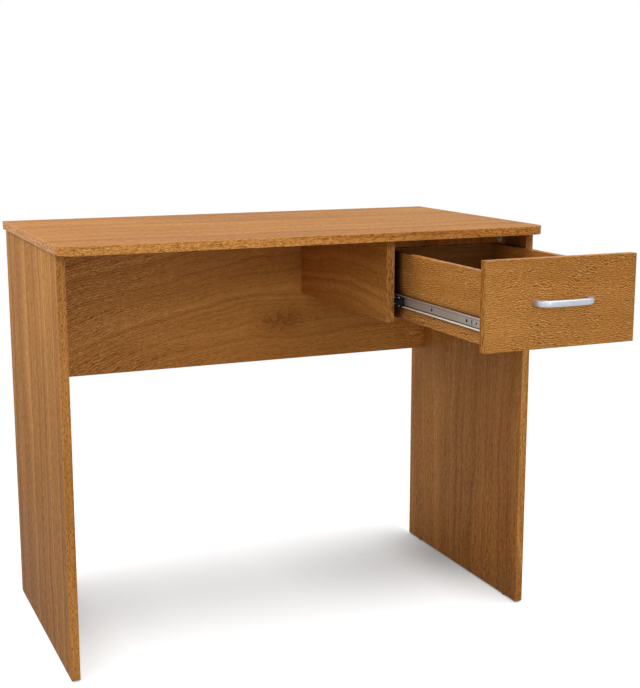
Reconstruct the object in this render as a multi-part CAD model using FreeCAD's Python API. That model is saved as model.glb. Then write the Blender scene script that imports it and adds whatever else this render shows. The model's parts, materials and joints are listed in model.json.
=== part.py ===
import FreeCAD, Part
import math
import os
from FreeCAD import Vector

# Desk with one drawer on ball-bearing slides, shown with the drawer pulled out.
# Millimetres. X runs to the right, Y to the back and Z up.
# The origin is on the floor, midway along and across the whole desk as it is shown.

# Boards of the desk
desk_height = 745
top_width = 900
top_corner_radius = 30
board = 15
band = 1
side_depth = 450
top_front_overhang = 41
top_side_overhang = 4
top_rear_overhang = 9
modesty_inset = 65
modesty_height = 286
partition_height = 150
drawer_bay_width = 273.5

# Glides under the side panels
glide_radius = 7
glide_height = 3
glide_foot_radius = 5
glide_inset = 48
nail_head_radius = 3
nail_head_height = 0.8
nail_head_depth = 0.6
nail_radius = 1
nail_length = 16

# Drawer
travel_left = 44
closed_gap = 2
front_overlay = 5.25
front_top_gap = 4
front_height = 146
front_drop = 6
box_height = 118
box_board = 12
bottom_board = 3
bottom_rise = 10
groove_depth = 6
slide_rise = 32.5

# Handle
handle_centres = 101
handle_reach = 27
handle_rise = 2.5
handle_thickness = 9.5
handle_height = 11
handle_edge_chamfer = 2
handle_bend_radius = 18
handle_bow_angle = 5
handle_thread_depth = 11

# Ball-bearing slides, one on each side of the drawer
slide_gap = 12.7
slide_setback = 2
slide_rear_room = 7
travel_loss = 35
slide_height = 21
slide_steel = 1
ball_radius = 1.5
ball_count = 5
lip_angle = 160
rail_height = 14
rail_depth = 4.4
middle_setback = 25
outer_cage_length = 100
outer_cage_lead = 24.5
inner_cage_length = 70
inner_cage_setback = 14
cage_thickness = 0.5
cage_height = 16.8
middle_ratio = 0.15
channel_screw_shares = (0.178, 0.486, 0.779)
rail_screw_shares = (0.115, 0.5, 0.885)
channel_hole_share = 0.096
channel_hole_radius = 2.3
channel_slot_share = 0.134
channel_slot_width = 3
channel_slot_height = 8
relief_depth = 4
middle_hole_place = 9
middle_hole_radius = 1.6

# Dowels, cam locks, brackets and screws
dowel_radius = 4
dowel_length = 30
dowel_short_end = 10
dowel_inset = 40
cam_radius = 7.5
cam_depth = 12
cam_reach = 24
cam_inset = 40
cam_bolt_radius = 2.5
cam_head_radius = 3.5
cam_head_length = 3
cam_collar_radius = 3.5
cam_collar_length = 5
cam_thread_length = 10
box_cam_radius = 6
box_cam_depth = 10
box_cam_reach = 20
box_cam_heights = (32, 95)
box_bolt_radius = 1.8
box_head_radius = 2.6
box_head_length = 2.4
box_collar_radius = 2.8
box_collar_length = 4
box_thread_length = 9
cam_slot_width = 1.4
cam_slot_depth = 1.6
bracket_leg = 25
bracket_width = 15
bracket_steel = 2
bracket_chamfer = 4
bracket_hole_reach = 17.5
bracket_places = (90, 300)
small_screw_radius = 1.6
small_screw_length = 12
small_head_radius = 3.5
small_head_height = 2
flat_head_radius = 3.3
slide_screw_length = 11
box_screw_length = 32
box_screw_heights = (62, 100)
bottom_screw_length = 18
bottom_screw_count = 3
partition_screw_radius = 2.5
partition_screw_length = 50
partition_head_radius = 5
partition_head_height = 3
partition_screw_inset = 35
handle_screw_radius = 1.9
handle_screw_length = 24

# Fits
fit = 0.1
race_clearance = 0.15
cage_clearance = 0.2
overrun = 5

# Flat sides of small fasteners and balls, and of dowels, cams and glides
fastener_sides = 6
round_sides = 12
tip_share = 0.3
ball_band_angle = 20
ball_cap_angle = 60

# Places worked out from the sizes above
bay_depth = side_depth + top_rear_overhang - modesty_inset
slide_length = bay_depth - slide_setback - slide_rear_room
full_travel = slide_length - travel_loss
shown_opening = full_travel - travel_left
shown_depth = handle_reach + board + closed_gap + shown_opening + side_depth + top_rear_overhang
front_y0 = handle_reach - shown_depth / 2
front_y1 = front_y0 + board
panel_y0 = front_y1 + shown_opening + closed_gap
panel_y1 = panel_y0 + side_depth
top_y1 = panel_y1 + top_rear_overhang
top_y0 = panel_y0 - top_front_overhang
modesty_y0 = panel_y0 + bay_depth
modesty_y1 = modesty_y0 + board
top_z0 = desk_height - board
modesty_z0 = top_z0 - modesty_height
partition_z0 = top_z0 - partition_height
panel_x1 = top_width / 2 - top_side_overhang
panel_x0 = panel_x1 - board
bay_x0 = panel_x0 - drawer_bay_width
bay_x1 = panel_x0
partition_x0 = bay_x0 - board
front_x0 = bay_x0 - front_overlay
front_x1 = bay_x1 + front_overlay
front_z1 = top_z0 - front_top_gap
front_z0 = front_z1 - front_height
box_x0 = bay_x0 + slide_gap
box_x1 = bay_x1 - slide_gap
box_z0 = front_z0 + front_drop
box_z1 = box_z0 + box_height
box_y1 = front_y1 + slide_length + 2 * slide_setback
back_y0 = box_y1 - box_board
bottom_z0 = box_z0 + bottom_rise
bottom_z1 = bottom_z0 + bottom_board
handle_x = (front_x0 + front_x1) / 2
handle_z = (front_z0 + front_z1) / 2 + handle_rise
slide_z = box_z0 + slide_rise

# Slide section, measured from the face that carries the cabinet rail
race_radius = ball_radius + race_clearance
curl_radius = race_radius + slide_steel
half_gap = slide_gap / 2
ball_u = half_gap - curl_radius
ball_w = slide_height / 2 - curl_radius
rail_w = rail_height / 2
rail_under_w = ball_w - race_radius - slide_steel
cage_u = rail_depth + cage_clearance
ball_chord = math.sqrt(ball_radius ** 2 - (cage_u - ball_u) ** 2)
pocket_radius = (ball_chord + race_clearance) / math.cos(math.pi / fastener_sides)

# Where the sliding members stand while the drawer is shown open
rail_y0 = panel_y0 + slide_setback
middle_y0 = rail_y0 + middle_setback - middle_ratio * shown_opening
channel_y0 = front_y1 + slide_setback
outer_cage_y0 = rail_y0 - outer_cage_lead
inner_cage_y0 = middle_y0 + inner_cage_setback

UP = Vector(0, 0, 1)
DOWN = Vector(0, 0, -1)
RIGHT = Vector(1, 0, 0)
LEFT = Vector(-1, 0, 0)
BACK = Vector(0, 1, 0)
FRONT = Vector(0, -1, 0)


# Shared helpers

def block(x0, x1, y0, y1, z0, z1):
    return Part.makeBox(x1 - x0, y1 - y0, z1 - z0, Vector(x0, y0, z0))


def ring(radius, height, sides):
    # The corners of a regular outline, the first one on the X axis.
    turns = [2 * math.pi * index / sides for index in range(sides)]
    return [Vector(radius * math.cos(turn), radius * math.sin(turn), height) for turn in turns]


def flat_face(corners):
    return Part.Face(Part.makePolygon(corners + corners[:1]))


def faceted(profile, place, direction, sides):
    # A turned form with flat sides, through rings of (radius, height) along the direction.
    rings = [ring(radius, height, sides) for radius, height in profile]
    faces = [flat_face(rings[0][::-1]), flat_face(rings[-1])]
    for low, high in zip(rings, rings[1:]):
        for index in range(sides):
            after = (index + 1) % sides
            faces.append(flat_face([low[index], low[after], high[after], high[index]]))
    shell = Part.Shell(faces)
    shell.sewShape()
    solid = Part.Solid(shell).removeSplitter()
    solid.Placement = FreeCAD.Placement(place, FreeCAD.Rotation(UP, direction))
    return solid


def rod(radius, start, direction, length, sides):
    return faceted([(radius, 0), (radius, length)], start, direction, sides)


def hole(radius, mouth, direction, depth):
    # A cutter for a fastener that starts a little outside the mouth.
    return rod(radius, mouth - direction * overrun, direction, depth + overrun, fastener_sides)


def pan_screw(place, direction, radius, length, head_radius, head_height):
    # The head stands on the surface at the place, and the shank goes in along the direction.
    crown_radius = head_radius - head_height / 2
    profile = [(crown_radius, -head_height), (head_radius, 0), (radius, 0), (radius, length - radius),
               (radius * tip_share, length)]
    return faceted(profile, place, direction, fastener_sides)


def flat_screw(place, direction, radius, length, head_radius, head_height):
    # The head lies flush with the surface at the place.
    profile = [(head_radius, 0), (radius, head_height), (radius, length - radius),
               (radius * tip_share, length)]
    return faceted(profile, place, direction, fastener_sides)


def flat_seat(place, direction, radius, length, head_radius, head_height):
    # The countersunk hole of a flat screw.
    cone = faceted([(head_radius + fit, 0), (radius + fit, head_height)], place, direction, fastener_sides)
    return [cone, hole(radius + fit, place, direction, length + fit)]


def save(name, *shapes):
    solids = [solid for shape in shapes for solid in shape.Solids]
    whole = solids[0] if len(solids) == 1 else Part.makeCompound(solids)
    whole.exportStep("parts/" + name + ".step")


# Desk top

def rounded_outline(x0, x1, y0, y1, radius):
    # A board outline whose two front corners are round.
    turn = radius * math.sqrt(0.5)
    left = Part.Arc(Vector(x0, y0 + radius, 0), Vector(x0 + radius - turn, y0 + radius - turn, 0),
                    Vector(x0 + radius, y0, 0))
    right = Part.Arc(Vector(x1 - radius, y0, 0), Vector(x1 - radius + turn, y0 + radius - turn, 0),
                     Vector(x1, y0 + radius, 0))
    front = Part.LineSegment(Vector(x0 + radius, y0, 0), Vector(x1 - radius, y0, 0))
    right_side = Part.LineSegment(Vector(x1, y0 + radius, 0), Vector(x1, y1, 0))
    rear = Part.LineSegment(Vector(x1, y1, 0), Vector(x0, y1, 0))
    left_side = Part.LineSegment(Vector(x0, y1, 0), Vector(x0, y0 + radius, 0))
    edges = [left, front, right, right_side, rear, left_side]
    return Part.Wire([edge.toShape() for edge in edges])


def slab(outline):
    solid = Part.Face(outline).extrude(UP * board)
    solid.translate(UP * top_z0)
    return solid


def top_core():
    inset = top_width / 2 - band
    outline = rounded_outline(-inset, inset, top_y0 + band, top_y1 - band, top_corner_radius - band)
    return slab(outline)


def make_desk_top():
    return top_core().cut(top_dowel_holes() + bracket_screw_holes())


def make_top_edge_band():
    half = top_width / 2
    return slab(rounded_outline(-half, half, top_y0, top_y1, top_corner_radius)).cut(top_core())


# Dowels that hold the top on the panels and the partition, and the modesty panel between the sides

def top_dowel_places():
    side_x = panel_x0 + board / 2
    partition_x = partition_x0 + board / 2
    panel_ys = (panel_y0 + dowel_inset, panel_y1 - dowel_inset)
    partition_ys = (panel_y0 + dowel_inset, modesty_y0 - dowel_inset)
    places = [(x, y) for x in (-side_x, side_x) for y in panel_ys]
    return places + [(partition_x, y) for y in partition_ys]


def top_dowel_bottom():
    return top_z0 + dowel_short_end - dowel_length


def make_top_dowels():
    z0 = top_dowel_bottom()
    return [rod(dowel_radius, Vector(x, y, z0), UP, dowel_length, round_sides) for x, y in top_dowel_places()]


def top_dowel_holes():
    z0 = top_dowel_bottom() - fit
    depth = dowel_length + 2 * fit
    return [rod(dowel_radius + fit, Vector(x, y, z0), UP, depth, round_sides) for x, y in top_dowel_places()]


def modesty_dowel(side, clearance):
    # A dowel across the joint between the modesty panel and one side panel.
    y = modesty_y0 + board / 2
    z = modesty_z0 + modesty_height / 2
    x = side * (panel_x0 + dowel_short_end + clearance)
    length = dowel_length + 2 * clearance
    return rod(dowel_radius + clearance, Vector(x, y, z), LEFT * side, length, round_sides)


# Cam locks: a turned housing in one board grips the head of a bolt in the other

def cam_housing(place, direction, radius, depth, bolt_direction, bolt_depth, bolt_bore):
    # The place is on the open face, and the direction goes into the board.
    # The bolt comes in against the bolt direction, at the bolt depth.
    housing = rod(radius - fit, place, direction, depth, round_sides)
    axis = place + direction * bolt_depth
    bore_end = axis - bolt_direction * bolt_bore
    bore = rod(bolt_bore, bore_end, bolt_direction, radius + bolt_bore, fastener_sides)
    across = direction.cross(bolt_direction)
    slots = [cam_slot(place, direction, radius, along) for along in (across, bolt_direction)]
    return housing.cut([bore] + slots)


def cam_slot(place, direction, radius, along):
    side = along.cross(direction)
    corner = place - direction * overrun - along * (radius / 2) - side * (cam_slot_width / 2)
    outline = [corner, corner + along * radius, corner + along * radius + side * cam_slot_width,
               corner + side * cam_slot_width, corner]
    return Part.Face(Part.makePolygon(outline)).extrude(direction * (cam_slot_depth + overrun))


def cam_bolt(face_point, into, reach, radius, head_radius, head_length, collar, thread_length):
    # The bolt is screwed into a board at the face point, and its head stands out by its reach.
    collar_radius, collar_length = collar
    head_foot = reach - head_length
    profile = [(head_radius, -reach), (head_radius, -head_foot), (radius, -head_foot),
               (radius, -collar_length), (collar_radius, -collar_length), (collar_radius, 0),
               (radius, 0), (radius, thread_length)]
    return faceted(profile, face_point, into, fastener_sides)


def modesty_cam_places():
    heights = (modesty_z0 + cam_inset, top_z0 - cam_inset)
    return [(side, z) for side in (-1, 1) for z in heights]


def modesty_bolt_axis(side, z):
    return Vector(side * panel_x0, modesty_y0 + board / 2, z)


def make_modesty_cam_locks():
    bore = cam_head_radius + race_clearance
    locks = []
    for side, z in modesty_cam_places():
        place = Vector(side * (panel_x0 - cam_reach), modesty_y1, z)
        locks.append(cam_housing(place, FRONT, cam_radius, cam_depth, RIGHT * side, board / 2, bore))
    return locks


def make_modesty_cam_bolts():
    reach = cam_reach + cam_head_length / 2
    collar = (cam_collar_radius, cam_collar_length)
    return [cam_bolt(modesty_bolt_axis(side, z), RIGHT * side, reach, cam_bolt_radius,
                     cam_head_radius, cam_head_length, collar, cam_thread_length)
            for side, z in modesty_cam_places()]


def modesty_cam_holes():
    cutters = []
    thread_depth = cam_thread_length + fit
    for side, z in modesty_cam_places():
        place = Vector(side * (panel_x0 - cam_reach), modesty_y1, z)
        axis = modesty_bolt_axis(side, z)
        cutters.append(rod(cam_radius, place, FRONT, cam_depth, round_sides))
        cutters.append(rod(cam_head_radius + race_clearance, axis, LEFT * side, cam_reach, fastener_sides))
        cutters.append(rod(cam_bolt_radius + fit, axis, RIGHT * side, thread_depth, fastener_sides))
    return cutters


# Side panels and their glides

def panel_bands(side):
    x0, x1 = sorted((side * panel_x0, side * panel_x1))
    front = block(x0, x1, panel_y0, panel_y0 + band, glide_height, top_z0)
    rear = block(x0, x1, panel_y1 - band, panel_y1, glide_height, top_z0)
    foot = block(x0, x1, panel_y0 + band, panel_y1 - band, glide_height, glide_height + band)
    return [front, rear, foot.cut(nail_holes())]


def make_side_panel(side):
    x0, x1 = sorted((side * panel_x0, side * panel_x1))
    core = block(x0, x1, panel_y0 + band, panel_y1 - band, glide_height + band, top_z0)
    cutters = nail_holes() + top_dowel_holes() + modesty_cam_holes() + bracket_screw_holes()
    cutters += rail_screw_holes() + [modesty_dowel(side, fit)]
    return core.cut(cutters)


def glide_places():
    side_x = panel_x0 + board / 2
    return {"front_left_glide": Vector(-side_x, panel_y0 + glide_inset, 0),
            "front_right_glide": Vector(side_x, panel_y0 + glide_inset, 0),
            "rear_left_glide": Vector(-side_x, panel_y1 - glide_inset, 0),
            "rear_right_glide": Vector(side_x, panel_y1 - glide_inset, 0)}


def make_glide(place):
    # A low domed disc with a sunk hole for its nail.
    waist = glide_height / 2
    nail_seat = nail_head_depth + nail_head_height
    profile = [(glide_foot_radius, 0), (glide_radius, waist), (glide_radius, glide_height)]
    disc = faceted(profile, place, UP, round_sides)
    return disc.cut(nail_holes() + [rod(nail_head_radius + fit, place, UP, nail_seat, fastener_sides)])


def make_glide_nails():
    nail_seat = nail_head_depth + nail_head_height
    tip = nail_seat + nail_length
    profile = [(nail_head_radius, nail_head_depth), (nail_head_radius, nail_seat), (nail_radius, nail_seat),
               (nail_radius, tip - 2 * nail_radius), (nail_radius * tip_share, tip)]
    return [faceted(profile, place, UP, fastener_sides) for place in glide_places().values()]


def nail_holes():
    depth = nail_head_depth + nail_head_height + nail_length + fit
    return [hole(nail_radius + fit, place, UP, depth) for place in glide_places().values()]


# Modesty panel and drawer partition

def make_modesty_panel():
    core = block(-panel_x0, panel_x0, modesty_y0, modesty_y1, modesty_z0 + band, top_z0)
    dowels = [modesty_dowel(side, fit) for side in (-1, 1)]
    return core.cut(modesty_cam_holes() + dowels + partition_screw_holes())


def make_modesty_edge_band():
    return block(-panel_x0, panel_x0, modesty_y0, modesty_y1, modesty_z0, modesty_z0 + band)


def make_drawer_partition():
    core = block(partition_x0, bay_x0, panel_y0 + band, modesty_y0, partition_z0 + band, top_z0)
    cutters = top_dowel_holes() + bracket_screw_holes() + rail_screw_holes() + partition_screw_holes()
    return core.cut(cutters)


def make_partition_edge_bands():
    front = block(partition_x0, bay_x0, panel_y0, panel_y0 + band, partition_z0, top_z0)
    foot = block(partition_x0, bay_x0, panel_y0 + band, modesty_y0, partition_z0, partition_z0 + band)
    return [front, foot]


def partition_screw_data():
    x = partition_x0 + board / 2
    heights = (partition_z0 + partition_screw_inset, top_z0 - partition_screw_inset)
    return [(Vector(x, modesty_y1, z), FRONT, partition_screw_radius, partition_screw_length,
             partition_head_radius, partition_head_height) for z in heights]


def partition_screw_holes():
    return [cutter for data in partition_screw_data() for cutter in flat_seat(*data)]


# Corner brackets under the top

def bracket_feet():
    # Each bracket stands on an upright face at x, and its flat leg points away from that face.
    feet = ((-panel_x0, 1), (panel_x0, -1), (bay_x0, 1))
    return [(x, panel_y0 + along, out) for x, out in feet for along in bracket_places]


def bracket_leaf(face_point, along, across, normal):
    # A leaf with cut corners, from the bend out along the face.
    half = across * (bracket_width / 2)
    inner = across * (bracket_width / 2 - bracket_chamfer)
    shoulder = face_point + along * (bracket_leg - bracket_chamfer)
    end = face_point + along * bracket_leg
    corners = [face_point + half, shoulder + half, end + inner,
               end - inner, shoulder - half, face_point - half]
    leaf = flat_face(corners).extrude(normal * bracket_steel)
    mouth = face_point + along * bracket_hole_reach
    return leaf.cut(hole(small_screw_radius + fit, mouth, normal, bracket_steel))


def make_corner_brackets():
    brackets = []
    for x, y, out in bracket_feet():
        corner = Vector(x, y, top_z0)
        upright = bracket_leaf(corner, DOWN, BACK, RIGHT * out)
        flat = bracket_leaf(corner, RIGHT * out, BACK, DOWN)
        brackets.append(upright.fuse(flat).removeSplitter())
    return brackets


def bracket_screw_data():
    data = []
    for x, y, out in bracket_feet():
        upright = Vector(x + out * bracket_steel, y, top_z0 - bracket_hole_reach)
        flat = Vector(x + out * bracket_hole_reach, y, top_z0 - bracket_steel)
        for place, direction in ((upright, LEFT * out), (flat, UP)):
            data.append((place, direction, small_screw_radius, small_screw_length,
                         small_head_radius, small_head_height))
    return data


def bracket_screw_holes():
    depth = small_screw_length + fit
    return [hole(small_screw_radius + fit, data[0], data[1], depth) for data in bracket_screw_data()]


# Ball-bearing slides
# Each slide is two nested pairs of rail and channel.
# The first channel is fixed back to back with the second rail.
# In a section, u runs from the carrying face towards the drawer, and w is the height above the middle.

def slide_side(name):
    return (bay_x0, 1) if name == "left" else (bay_x1, -1)


def section_point(side, shift, y):
    face_x, out = side
    return lambda u, w: Vector(face_x + out * (u + shift), y, slide_z + w)


def drawn(outline, length):
    return Part.Face(Part.Wire(outline)).extrude(BACK * length)


def rail_outline(point):
    # An inner rail: a web with two flanges that carry the balls in round grooves.
    groove_start = ball_u - math.sqrt(race_radius ** 2 - (ball_w - rail_w) ** 2)
    groove_end = ball_w - math.sqrt(race_radius ** 2 - (rail_depth - ball_u) ** 2)
    groove_foot = ball_w - race_radius
    top = Part.Arc(point(groove_start, rail_w), point(ball_u, groove_foot), point(rail_depth, groove_end))
    foot = Part.Arc(point(rail_depth, -groove_end), point(ball_u, -groove_foot), point(groove_start, -rail_w))
    inside = Part.makePolygon([point(rail_depth, groove_end), point(rail_depth, rail_under_w),
                               point(slide_steel, rail_under_w), point(slide_steel, -rail_under_w),
                               point(rail_depth, -rail_under_w), point(rail_depth, -groove_end)])
    outside = Part.makePolygon([point(groove_start, -rail_w), point(0, -rail_w), point(0, rail_w),
                                point(groove_start, rail_w)])
    return [top.toShape()] + inside.Edges + [foot.toShape()] + outside.Edges


def curl_arc(point, radius, sign, start, end):
    # An arc round the upper (+1) or lower (-1) row of balls, in degrees from the drawer side.
    def spot(angle):
        turn = math.radians(angle)
        return point(ball_u + radius * math.cos(turn), sign * (ball_w + radius * math.sin(turn)))
    return Part.Arc(spot(start), spot((start + end) / 2), spot(end)).toShape(), spot(start), spot(end)


def channel_outline(point):
    # An outer channel: a web whose edges curl round the balls into lips.
    upper_out, web_top, lip_top = curl_arc(point, curl_radius, 1, 0, lip_angle)
    upper_in, lip_in_top, inner_top = curl_arc(point, race_radius, 1, lip_angle, 0)
    lower_in, inner_foot, lip_in_foot = curl_arc(point, race_radius, -1, 0, lip_angle)
    lower_out, lip_foot, web_foot = curl_arc(point, curl_radius, -1, lip_angle, 0)
    return [upper_out, Part.makeLine(lip_top, lip_in_top), upper_in, Part.makeLine(inner_top, inner_foot),
            lower_in, Part.makeLine(lip_in_foot, lip_foot), lower_out, Part.makeLine(web_foot, web_top)]


def rail_screw_data(name):
    face_x, out = slide_side(name)
    x = face_x + out * slide_steel
    return [(Vector(x, rail_y0 + share * slide_length, slide_z), LEFT * out, small_screw_radius,
             slide_screw_length, flat_head_radius, slide_steel) for share in rail_screw_shares]


def rail_screw_holes():
    screws = rail_screw_data("left") + rail_screw_data("right")
    return [cutter for data in screws for cutter in flat_seat(*data)]


def channel_screw_data(name):
    face_x, out = slide_side(name)
    x = face_x + out * (slide_gap - slide_steel)
    return [(Vector(x, channel_y0 + share * slide_length, slide_z), RIGHT * out, small_screw_radius,
             slide_screw_length, flat_head_radius, slide_steel) for share in channel_screw_shares]


def channel_screw_holes():
    screws = channel_screw_data("left") + channel_screw_data("right")
    return [cutter for data in screws for cutter in flat_seat(*data)]


def make_cabinet_rail(name):
    rail = drawn(rail_outline(section_point(slide_side(name), 0, rail_y0)), slide_length)
    return rail.cut(rail_screw_holes())


def web_hole(name, depth_u, y, radius):
    face_x, out = slide_side(name)
    mouth = Vector(face_x + out * (depth_u - slide_steel), y, slide_z)
    return rod(radius, mouth, RIGHT * out, slide_steel + fit, fastener_sides)


def make_middle_member(name):
    length = slide_length - middle_setback
    channel = drawn(channel_outline(section_point(slide_side(name), 0, middle_y0)), length)
    rail = drawn(rail_outline(section_point(slide_side(name), half_gap, middle_y0)), length)
    ends = (middle_y0 + middle_hole_place, middle_y0 + length - middle_hole_place)
    webs = (half_gap, half_gap + slide_steel)
    holes = [web_hole(name, web, y, middle_hole_radius) for y in ends for web in webs]
    return channel.fuse(rail).removeSplitter().cut(holes)


def channel_openings(name, depth):
    # The round hole and the slot near the front of a drawer channel, from the open face of its web.
    face_x, out = slide_side(name)
    face = face_x + out * (slide_gap - slide_steel)
    hole_y = channel_y0 + channel_hole_share * slide_length
    slot_y = channel_y0 + channel_slot_share * slide_length
    round_hole = hole(channel_hole_radius, Vector(face, hole_y, slide_z), RIGHT * out, depth)
    slot_x = sorted((face - out * overrun, face + out * depth))
    slot = block(slot_x[0], slot_x[1], slot_y - channel_slot_width / 2, slot_y + channel_slot_width / 2,
                 slide_z - channel_slot_height / 2, slide_z + channel_slot_height / 2)
    return [round_hole, slot]


def make_drawer_channel(name):
    channel = drawn(channel_outline(section_point(slide_side(name), half_gap, channel_y0)), slide_length)
    return channel.cut(channel_screw_holes() + channel_openings(name, slide_steel + overrun))


def ball_places(name, shift, y0, length):
    point = section_point(slide_side(name), shift, y0)
    pitch = length / ball_count
    return [point(ball_u, row * ball_w) + BACK * (pitch * (index + 0.5))
            for row in (-1, 1) for index in range(ball_count)]


def make_cage(name, shift, y0, length):
    # A thin strip between rail and channel, with a pocket for each ball.
    point = section_point(slide_side(name), shift, y0)
    half = cage_height / 2
    corners = [point(cage_u, -half), point(cage_u, half), point(cage_u + cage_thickness, half),
               point(cage_u + cage_thickness, -half), point(cage_u, -half)]
    strip = drawn(Part.makePolygon(corners).Edges, length)
    out = RIGHT * slide_side(name)[1]
    places = ball_places(name, shift, y0, length)
    return strip.cut([rod(pocket_radius, place, out, overrun, fastener_sides) for place in places])


def make_balls(name, shift, y0, length):
    # Each ball has a few flat bands, because the slides hold many of them.
    angles = (-ball_cap_angle, -ball_band_angle, ball_band_angle, ball_cap_angle)
    turns = [math.radians(angle) for angle in angles]
    profile = [(ball_radius * math.cos(turn), ball_radius * math.sin(turn)) for turn in turns]
    places = ball_places(name, shift, y0, length)
    return [faceted(profile, place, RIGHT, fastener_sides) for place in places]


# Drawer

def make_drawer_front():
    core = block(front_x0 + band, front_x1 - band, front_y0, front_y1, front_z0 + band, front_z1 - band)
    groove = block(box_x0 + box_board - groove_depth, box_x1 - box_board + groove_depth,
                   front_y1 - groove_depth, front_y1 + overrun, bottom_z0, bottom_z1 + fit)
    depth = board + overrun
    screws = [hole(handle_screw_radius + fit, place, FRONT, depth) for place in handle_screw_places()]
    return core.cut([groove] + screws + box_cam_holes())


def make_drawer_front_edge_bands():
    top = block(front_x0, front_x1, front_y0, front_y1, front_z1 - band, front_z1)
    foot = block(front_x0, front_x1, front_y0, front_y1, front_z0, front_z0 + band)
    left = block(front_x0, front_x0 + band, front_y0, front_y1, front_z0 + band, front_z1 - band)
    right = block(front_x1 - band, front_x1, front_y0, front_y1, front_z0 + band, front_z1 - band)
    return [top, foot, left, right]


def bottom_cutter():
    # The grooves that hold the bottom, open at the back.
    return block(box_x0 + box_board - groove_depth, box_x1 - box_board + groove_depth, front_y1 - overrun,
                 box_y1 + overrun, bottom_z0, bottom_z1 + fit)


def make_drawer_side(name):
    x0, x1 = (box_x0, box_x0 + box_board) if name == "left" else (box_x1 - box_board, box_x1)
    core = block(x0, x1, front_y1, box_y1, box_z0, box_z1 - band)
    cutters = [bottom_cutter()] + channel_screw_holes() + box_cam_holes() + back_screw_holes()
    return core.cut(cutters + channel_openings(name, slide_steel + relief_depth))


def make_drawer_back():
    core = block(box_x0 + box_board, box_x1 - box_board, back_y0, box_y1, bottom_z1, box_z1 - band)
    return core.cut(back_screw_holes() + bottom_screw_holes())


def make_drawer_bottom():
    x0 = box_x0 + box_board - groove_depth + fit
    x1 = box_x1 - box_board + groove_depth - fit
    sheet = block(x0, x1, front_y1 - groove_depth + fit, box_y1, bottom_z0, bottom_z1)
    return sheet.cut(bottom_screw_holes())


def make_drawer_box_edge_bands():
    left = block(box_x0, box_x0 + box_board, front_y1, box_y1, box_z1 - band, box_z1)
    right = block(box_x1 - box_board, box_x1, front_y1, box_y1, box_z1 - band, box_z1)
    back = block(box_x0 + box_board, box_x1 - box_board, back_y0, box_y1, box_z1 - band, box_z1)
    return [left, right, back]


def box_cam_places():
    return [(side, box_z0 + height) for side in (-1, 1) for height in box_cam_heights]


def box_cam_face(side, z):
    x = box_x0 + box_board if side < 0 else box_x1 - box_board
    return Vector(x, front_y1 + box_cam_reach, z)


def box_bolt_axis(side, z):
    x = box_x0 + box_board / 2 if side < 0 else box_x1 - box_board / 2
    return Vector(x, front_y1, z)


def make_drawer_cam_locks():
    bore = box_collar_radius + race_clearance
    return [cam_housing(box_cam_face(side, z), RIGHT * side, box_cam_radius, box_cam_depth, FRONT,
                        box_board / 2, bore) for side, z in box_cam_places()]


def make_drawer_cam_bolts():
    reach = box_cam_reach + box_head_length / 2
    collar = (box_collar_radius, box_collar_length)
    return [cam_bolt(box_bolt_axis(side, z), FRONT, reach, box_bolt_radius, box_head_radius, box_head_length,
                     collar, box_thread_length) for side, z in box_cam_places()]


def box_cam_holes():
    cutters = []
    for side, z in box_cam_places():
        axis = box_bolt_axis(side, z)
        cutters.append(rod(box_cam_radius, box_cam_face(side, z), RIGHT * side, box_cam_depth, round_sides))
        cutters.append(rod(box_collar_radius + race_clearance, axis, BACK, box_cam_reach, fastener_sides))
        cutters.append(rod(box_bolt_radius + fit, axis, FRONT, box_thread_length + fit, fastener_sides))
    return cutters


def back_screw_data():
    y = box_y1 - box_board / 2
    data = []
    for height in box_screw_heights:
        for x, direction in ((box_x0, RIGHT), (box_x1, LEFT)):
            data.append((Vector(x, y, box_z0 + height), direction, small_screw_radius, box_screw_length,
                         flat_head_radius, small_head_height))
    return data


def back_screw_holes():
    return [cutter for data in back_screw_data() for cutter in flat_seat(*data)]


def bottom_screw_data():
    y = box_y1 - box_board / 2
    span = box_x1 - box_x0
    pitch = span / (bottom_screw_count + 1)
    places = [box_x0 + pitch * (index + 1) for index in range(bottom_screw_count)]
    return [(Vector(x, y, bottom_z0), UP, small_screw_radius, bottom_screw_length,
             small_head_radius, small_head_height) for x in places]


def bottom_screw_holes():
    depth = bottom_screw_length + fit
    return [hole(small_screw_radius + fit, data[0], data[1], depth) for data in bottom_screw_data()]


# Handle

def handle_posts(section):
    # The left post, its bend and the left half of the bow, each made from the end face of the one before.
    tilt = math.radians(handle_bow_angle)
    bend_x = handle_centres / 2 - handle_bend_radius
    chord = bend_x + handle_bend_radius * math.sin(tilt)
    rise = chord * math.tan(tilt / 2)
    bow_radius = chord / math.sin(tilt)
    crest_y = front_y0 - handle_reach + handle_thickness / 2
    bend_y = crest_y + rise + handle_bend_radius * math.cos(tilt)
    bend_angle = 90 - handle_bow_angle
    post = section.extrude(FRONT * (front_y0 - bend_y))
    bend_foot = section.translated(FRONT * (front_y0 - bend_y))
    bend_centre = Vector(handle_x - bend_x, bend_y, handle_z)
    bend = bend_foot.revolve(bend_centre, UP, bend_angle)
    bow_foot = bend_foot.rotated(bend_centre, UP, bend_angle)
    bow_centre = Vector(handle_x, crest_y + bow_radius, handle_z)
    bow = bow_foot.revolve(bow_centre, UP, handle_bow_angle)
    return [post, bend, bow]


def handle_section():
    # A bar section with cut corners on the drawer front, at the foot of the left post.
    post_x = handle_x - handle_centres / 2
    x0 = post_x - handle_thickness / 2
    x1 = x0 + handle_thickness
    z0 = handle_z - handle_height / 2
    z1 = z0 + handle_height
    cut = handle_edge_chamfer
    corners = [(x0 + cut, z0), (x1 - cut, z0), (x1, z0 + cut), (x1, z1 - cut),
               (x1 - cut, z1), (x0 + cut, z1), (x0, z1 - cut), (x0, z0 + cut)]
    return flat_face([Vector(x, front_y0, z) for x, z in corners])


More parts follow.
